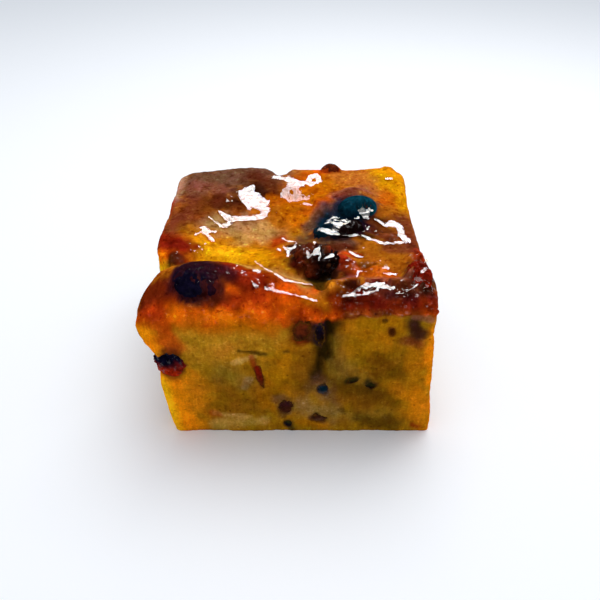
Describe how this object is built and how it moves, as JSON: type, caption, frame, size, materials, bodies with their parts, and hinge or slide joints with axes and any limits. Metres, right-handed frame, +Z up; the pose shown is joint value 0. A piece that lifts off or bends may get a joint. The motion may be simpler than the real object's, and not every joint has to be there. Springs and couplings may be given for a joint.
{
  "type": "bread pudding square",
  "caption": "Knife-cut square of baked bread pudding with a browned, glazed crust, and raisins in the crust and the cut faces.",
  "frame": {"origin": "middle of the flat base", "axes": "+X to the right across the front cut face, +Y from the front cut face to the back, +Z up through the crust"},
  "size_m": [0.0709, 0.0652, 0.047],
  "materials": {
    "crumb": "moist custard crumb under a browned crust",
    "raisin": "plumped dark fruit, syrupy",
    "peel": "candied, translucent",
    "glaze": "thin clear amber syrup, wet"
  },
  "bodies": {
    "root": {"pudding": "crumb", "raisin_round": "raisin", "raisin_broad": "raisin", "raisin_burnt": "raisin", "raisin_crown": "raisin", "raisin_corner": "raisin", "raisin_back_edge": "raisin", "raisin_left": "raisin", "raisin_cut_high": "raisin", "raisin_seam": "raisin", "raisin_cut_right": "raisin", "raisin_cut_mid": "raisin", "raisin_cut_blue": "raisin", "raisin_cut_low": "raisin", "raisin_base": "raisin", "raisin_base_right": "raisin", "peel_strip": "peel", "raisin_left_back": "raisin", "raisin_right_front": "raisin", "raisin_right_back": "raisin", "raisin_back_low": "raisin", "raisin_back_high": "raisin"}
  },
  "joints": []
}
